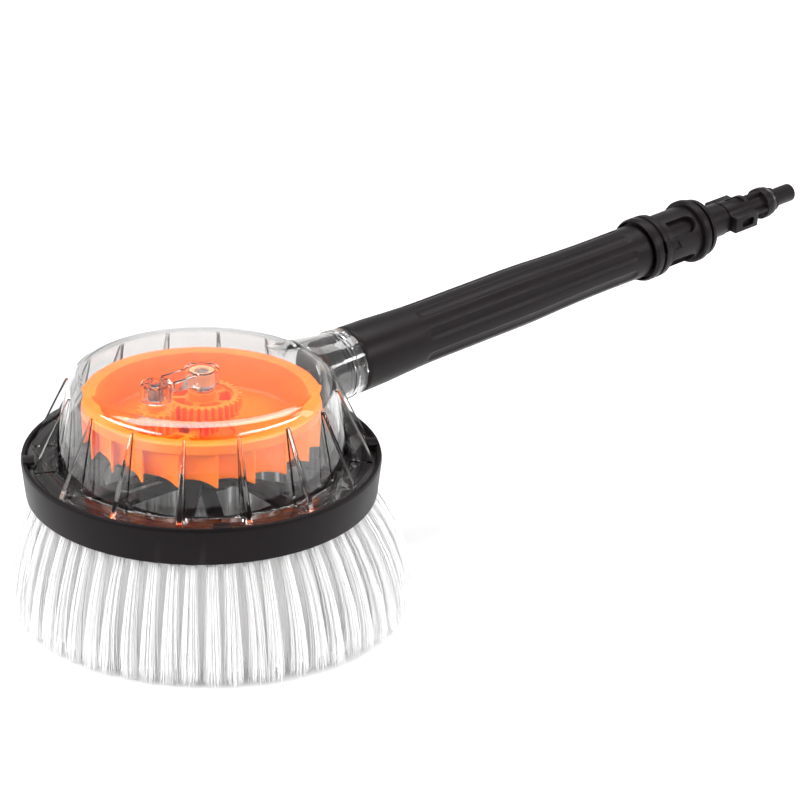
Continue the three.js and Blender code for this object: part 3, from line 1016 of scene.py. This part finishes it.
def tuftMesh(rng, count):
    length = brush["rootTop"] - brush["tips"]
    tuft = filament(brush["coreLength"], brush["coreShare"], brush["rings"], 10)
    for corner in tuft.verts:
        spread = tuftSpread(-corner.co.z)
        height = brush["rootTop"] + length * corner.co.z
        corner.co = (corner.co.x * spread, corner.co.y * spread, height)
    single = bpy.data.meshes.new("strand")
    strand = filament(1.0, brush["filamentRadius"], brush["rings"])
    strand.to_mesh(single)
    strand.free()
    for index in range(count):
        start = len(tuft.verts)
        tuft.from_mesh(single)
        tuft.verts.ensure_lookup_table()
        reach = math.sqrt(0.2 + 0.8 * (index + 0.5) / count)
        angle = index * 2.39996 + rng.uniform(-0.3, 0.3)
        lean = rng.uniform(0.88, 1.12)
        stray = Vector((rng.gauss(0, 0.35), rng.gauss(0, 0.35)))
        own = length - abs(rng.gauss(0, 1.7)) - 2.5 * reach**4 * rng.random()
        turn = rng.uniform(0, math.tau)
        for corner in tuft.verts[start:]:
            down = -corner.co.z
            spread = tuftSpread(down, lean)
            thin = 1 if down < 0.9 else 0.3
            x = thin * (corner.co.x * math.cos(turn) - corner.co.y * math.sin(turn))
            y = thin * (corner.co.x * math.sin(turn) + corner.co.y * math.cos(turn))
            x += math.cos(angle) * reach * spread + stray.x * down**2
            y += math.sin(angle) * reach * spread + stray.y * down**2
            corner.co = (x, y, brush["rootTop"] - own * down)
    mesh = bpy.data.meshes.new("tuft")
    tuft.to_mesh(mesh)
    tuft.free()
    bpy.data.meshes.remove(single)
    return mesh


def makeBristles():
    rng = random.Random(11)
    height = brush["rootTop"] - brush["tips"]
    for number, row in enumerate(brush["rows"], start=1):
        variants = [tuftMesh(rng, row["filaments"]) for _ in range(brush["variants"])]
        shape = bmesh.new()
        for index in range(row["tufts"]):
            start = len(shape.verts)
            shape.from_mesh(rng.choice(variants))
            shape.verts.ensure_lookup_table()
            angle = (index + 0.5 * (number % 2)) * math.tau / row["tufts"]
            angle += rng.uniform(-0.006, 0.006)
            turn = rng.choice((0, 1, 2, 3)) * math.pi / 2
            lean = rng.gauss(0, 0.5)
            outward = Vector((math.cos(angle), math.sin(angle), 0))
            along = Vector((-outward.y, outward.x, 0))
            flare = brush["sideFlare"] * outward.dot(toRight)
            for corner in shape.verts[start:]:
                part = (corner.co.z - brush["tips"]) / height
                bend = 1 - part**2.2
                x = corner.co.x * math.cos(turn) - corner.co.y * math.sin(turn)
                y = corner.co.x * math.sin(turn) + corner.co.y * math.cos(turn)
                radius = row["root"] + (row["tip"] - row["root"] + flare) * bend + x
                flat = outward * radius + along * (y + lean * bend)
                corner.co = (flat.x, flat.y, corner.co.z)
        name, node = f"bristleRow{number}", f"bristle_row_{number}"
        finish(name, shape, headPlace, row["look"], "brush", "bristle_nylon", node, sharp=80)
        for mesh in variants:
            bpy.data.meshes.remove(mesh)


makeDisc()
makeBristles()
print("brush made")

# Shafts, bushes, clips and fixings


def clipOutline(inner, outer, opening):
    # a ring that is open on one side
    steps = 28
    half = math.radians(180 - opening / 2)
    angles = [-half + 2 * half * k / steps for k in range(steps + 1)]
    points = [(outer * math.cos(a), outer * math.sin(a)) for a in angles]
    return points + [(inner * math.cos(a), inner * math.sin(a)) for a in reversed(angles)]


def makeFixings():
    shaft = turned(
        [(0, -8), (1.8, -8), (1.8, -17.6), (3, -17.6, 0.4), (3, 36.9, 0.5), (0, 36.9)], 64, False
    )
    finish("driveShaft", shaft, headPlace, "turnedSteel", "brush", "steel", "drive_shaft")
    axle = rod(2, 10.7, 36.6, 0.4)
    finish("idlerAxle", axle, idlerPlace, "turnedSteel", "housing", "steel", "idler_axle")
    lowerBush = turned(
        [
            (3.3, -7.6, 0.3),
            (6.1, -7.6, 0.3),
            (6.1, 1.8),
            (8, 1.8, 0.2),
            (8, 2.8, 0.3),
            (3.3, 2.8, 0.3),
        ],
        64,
    )
    finish("lowerBush", lowerBush, headPlace, "bushTan", "housing", "bush_plastic", "lower_bush")
    bushes = [
        ("topBush", 5.6, 32.2, 37.2, "housing", "top_bush"),
        ("turbineBushLower", 4.4, 3.4, 9.4, "turbine", "turbine_bush_lower"),
        ("turbineBushUpper", 4.4, 12.4, 18.4, "turbine", "turbine_bush_upper"),
    ]
    for name, radius, low, high, body, node in bushes:
        finish(name, tube(3.3, radius, low, high), headPlace, "bushTan", body, "bush_plastic", node)
    shaftClip = bevelled(raised(clipOutline(3.3, 5.6, 70), 28.8, 29.8), 0.15)
    finish("shaftClip", shaftClip, headPlace, "turnedSteel", "brush", "steel", "shaft_clip")
    idlerClip = bevelled(raised(clipOutline(2.3, 4.2, 70), 11.3, 12.2), 0.15)
    finish("idlerClip", idlerClip, idlerPlace, "turnedSteel", "housing", "steel", "idler_clip")
    washer = tube(2.2, 7, -19.4, -18.2, 0.25)
    finish("discWasher", washer, headPlace, "turnedSteel", "brush", "steel", "disc_washer")
    screw = turned(
        [
            (0, -22.4),
            (3.2, -22.4, 0.6),
            (4.2, -21.5, 0.5),
            (4.2, -19.7, 0.2),
            (1.5, -19.7),
            (1.5, -9.4, 0.4),
            (0, -9),
        ],
        64,
        False,
    )
    for turn in (0, 90):
        screw = cut(screw, moved(block((5.2, 0.9, 2.6), (0, 0, -22.2)), spun(turn)))
    finish("discScrew", screw, headPlace, "turnedSteel", "brush", "steel", "disc_screw")


makeFixings()
print("fixings made")

# Handle

handle = {
    "gripBore": 10.8,
    "gripShape": [
        (84.8, 15.9),
        (100, 15.6),
        (114, 14.95),
        (128, 14.5),
        (160, 14.45),
        (193, 14.4),
        (213, 13.8),
        (234, 13.35),
        (255, 13.3),
        (271.6, 13.4),
    ],
    "flutes": 8,
    "flutePhase": math.radians(25.6),
    "fluteStart": 122,
    "fluteEnd": 262,
    "fluteHalf": 2.9,
    "fluteDepth": 0.75,
    "facing": 237.6,  # the side of the handle that the camera sees, in degrees
}


blackPart = ("satinBlack", "housing", "black_plastic")


def smoothStep(value):
    value = min(max(value, 0.0), 1.0)
    return value * value * (3 - 2 * value)


def gripRadius(at):
    shape = handle["gripShape"]
    for i in range(len(shape) - 1):
        if at <= shape[i + 1][0]:
            break
    (s1, r1), (s2, r2) = shape[i], shape[i + 1]
    s0, r0 = shape[max(i - 1, 0)]
    s3, r3 = shape[min(i + 2, len(shape) - 1)]
    slope1 = (r2 - r0) / (s2 - s0)
    slope2 = (r3 - r1) / (s3 - s1)
    span = s2 - s1
    t = (at - s1) / span
    rise = (2 * t**3 - 3 * t**2 + 1) * r1 + (-2 * t**3 + 3 * t**2) * r2
    return rise + (t**3 - 2 * t**2 + t) * span * slope1 + (t**3 - t**2) * span * slope2


def makeGrip():
    start, end = handle["gripShape"][0][0], handle["gripShape"][-1][0]
    bore = handle["gripBore"]
    count = 190
    outer = []
    for k in range(count + 1):
        at = start + (end - start) * k / count
        ease = 0.5 * max(0, 1 - min(at - start, end - at) / 0.7) ** 2
        outer.append((gripRadius(at) - ease, at))
    shape = turned([(bore, start), *outer, (bore, end)], 208)
    pitch = math.tau / handle["flutes"]
    half = handle["fluteHalf"]
    for corner in shape.verts:
        radius = corner.co.xy.length
        if radius < bore + 0.5:
            continue
        angle = math.atan2(corner.co.y, corner.co.x) - handle["flutePhase"]
        across = ((angle + pitch / 2) % pitch - pitch / 2) * radius
        before, after = handle["fluteStart"] - corner.co.z, corner.co.z - handle["fluteEnd"]
        beyond = max(before + half, after + half, 0)
        inside = half - math.hypot(across, beyond)
        sunk = smoothStep(inside / 0.9) * 0.6 + smoothStep((inside - 1.1) / 0.8) * 0.4
        factor = 1 - handle["fluteDepth"] * sunk / radius
        corner.co.x *= factor
        corner.co.y *= factor
    finish("grip", shape, handlePlace, "satinBlack", "housing", "grip_plastic", "grip", sharp=50)


def sideBlock(size, radius, along, degrees, soft=0.0):
    # size is outwards, across and along; it sits at that radius on that side of the handle
    return moved(block(size, (radius, 0, along), soft), spun(degrees))


def makeEndRing():
    shape = turned(
        [
            (11.5, 274.4, 0.2),
            (14.3, 274.4, 0.2),
            (14.8, 271.9, 0.2),
            (15.3, 271.9, 0.3),
            (16, 273.6, 0.6),
            (16, 276.7, 0.35),
            (14.8, 277, 0.1),
            (14.8, 278.4, 0.1),
            (16, 278.7, 0.35),
            (15.8, 282.5, 0.6),
            (11.5, 282.5, 0.3),
        ],
        128,
    )
    shape = cut(shape, sideBlock((3, 6.2, 1.5), 15.4, 278.3, handle["facing"] + 16))
    finish("gripEndRing", shape, handlePlace, *blackPart, "grip_end_ring")


def facingOut(radius, along):
    # turns a shape drawn flat so that it looks outwards from that radius of the handle
    return Matrix.Translation((radius, 0, along)) @ Matrix.Rotation(math.radians(90), 4, "Y")


def sleeveWindow(degrees):
    straight = block((6, 8.8, 13), (13.5, 0, 293.2))
    end = moved(rod(4.4, -3, 3, 0.01, 40), facingOut(13.5, 299.7))
    return moved(joined(straight, end), spun(degrees))


def triangleMark():
    side = [(-2.3, 0), (2.1, -2.6), (2.1, 2.6)]
    mark = raised([(y, x) for x, y in side], -0.55, 1.4)
    return moved(mark, spun(handle["facing"] + 22) @ facingOut(13.7, 289))


def makeCollar():
    sleeve = tube(11.5, 13.7, 282.8, 306.6, 0.25, 128)
    for turn in range(4):
        sleeve = cut(sleeve, sleeveWindow(45 + 90 * turn))
    sleeve = cut(sleeve, triangleMark())
    finish("collarSleeve", sleeve, handlePlace, *blackPart, "collar_sleeve")
    ring = turned(
        [
            (11.5, 306.9, 0.2),
            (15.4, 306.9, 0.4),
            (16, 307.8, 0.5),
            (16, 310.8, 0.5),
            (13, 311.1, 0.1),
            (13, 313.1, 0.1),
            (15, 313.3, 0.4),
            (14.7, 316, 0.5),
            (11.5, 316, 0.2),
        ],
        128,
    )
    finish("collarRing", ring, handlePlace, *blackPart, "collar_ring")
    socket = tube(8.9, 11.2, 272.2, 315.7, 0.3, 96)
    finish("adapterSocket", socket, handlePlace, *blackPart, "adapter_socket")


adapter = {
    "lugAngle": 276.0,
    "lugWidth": 8.5,
    "lugReach": 11.4,
    "lugMiddle": 341.75,
    "slotCorner": 1.5,
}


def makeAdapter():
    shape = turned(
        [
            (2.5, 292, 0.3),
            (8.5, 292, 0.6),
            (8.5, 298.5),
            (6.9, 298.5),
            (6.9, 301.5),
            (8.5, 301.5),
            (8.5, 331.3, 0.5),
            (7.3, 331.7, 0.1),
            (7.3, 333.5, 0.1),
            (8, 333.5, 0.3),
            (8, 350, 0.5),
            (5.2, 350, 0.4),
            (5.2, 361.5, 0.4),
            (8, 361.5, 0.5),
            (8, 365.6, 0.5),
            (4.95, 365.6, 0.1),
            (4.95, 369, 0.1),
            (6.2, 369, 0.3),
            (6.2, 371.5, 0.3),
            (4.65, 371.5, 0.1),
            (4.65, 385.5, 0.7),
            (2.5, 385.5, 0.3),
        ],
        112,
    )
    width, reach = adapter["lugWidth"], adapter["lugReach"]
    for turn in (0, 180):
        lug = block((reach - 6, width, 16.5), ((reach + 6) / 2, 0, adapter["lugMiddle"]), 0.6)
        slot = block((4.5, width / 2, 8.4), (reach, 0, adapter["lugMiddle"] + 0.6))
        upright = [e for e in slot.edges if abs(e.verts[0].co.x - e.verts[1].co.x) > 1]
        bevelEdges(slot, upright, adapter["slotCorner"], 5)
        lug = cut(lug, slot)
        side = adapter["lugAngle"] + turn
        shape = joined(shape, moved(lug, spun(side)))
        shape = cut(shape, sideBlock((4, 7, 9), 8.5, adapter["lugMiddle"] + 1, side + 90, 0.4))
    for turn in range(4):
        side = adapter["lugAngle"] + 90 * turn
        shape = joined(shape, sideBlock((4, 1.8, 12.4), 5.6, 355.8, side, 0.2))
    finish("adapterBody", shape, handlePlace, *blackPart, "adapter_body")


def makeWaterPath():
    plug = turned(
        [
            (0, 64),
            (12.9, 64, 0.6),
            (12.9, 74, 0.2),
            (11.5, 74),
            (11.5, 77),
            (12.9, 77, 0.2),
            (12.9, 84.5, 0.2),
            (10.5, 84.5),
            (10.5, 100, 0.4),
            (5.8, 100, 0.3),
            (5.8, 78),
            (0, 78),
        ],
        112,
        False,
    )
    plug = cut(plug, moved(rod(1.4, 62, 80, 0.01, 32), Matrix.Translation((3, 4, 0))))
    finish("neckPlug", plug, handlePlace, "glossBlack", "housing", "black_plastic", "neck_plug")
    nozzle = turned(
        [(0.7, -4), (1.8, -4, 0.4), (1.8, 0), (3, 0, 0.3), (3, 3, 0.3), (0.7, 3)], 48
    )
    moved(nozzle, Matrix.Translation((3, 4, 60.7)))
    finish("jetNozzle", nozzle, handlePlace, "turnedBrass", "housing", "brass", "jet_nozzle")
    pipe = tube(3.6, 5.5, 78.3, 288, 0.3)
    finish("innerPipe", pipe, handlePlace, "glossBlack", "housing", "black_plastic", "inner_pipe")
    seals = [
        ("plugSeal", seal(12.4, 0.6, 75.5), "plug_seal"),
        ("pipeSeal", tube(5.8, 8.6, 283, 287, 0.7), "pipe_seal"),
        ("adapterSeal", seal(7.9, 0.65, 300), "adapter_seal"),
        ("adapterOring", seal(6.35, 1.2, 367.3), "adapter_oring"),
    ]
    for name, shape, node in seals:
        finish(name, shape, handlePlace, "softRubber", "housing", "seal_rubber", node)


makeGrip()
makeEndRing()
makeCollar()
makeAdapter()
makeWaterPath()
print("handle made")
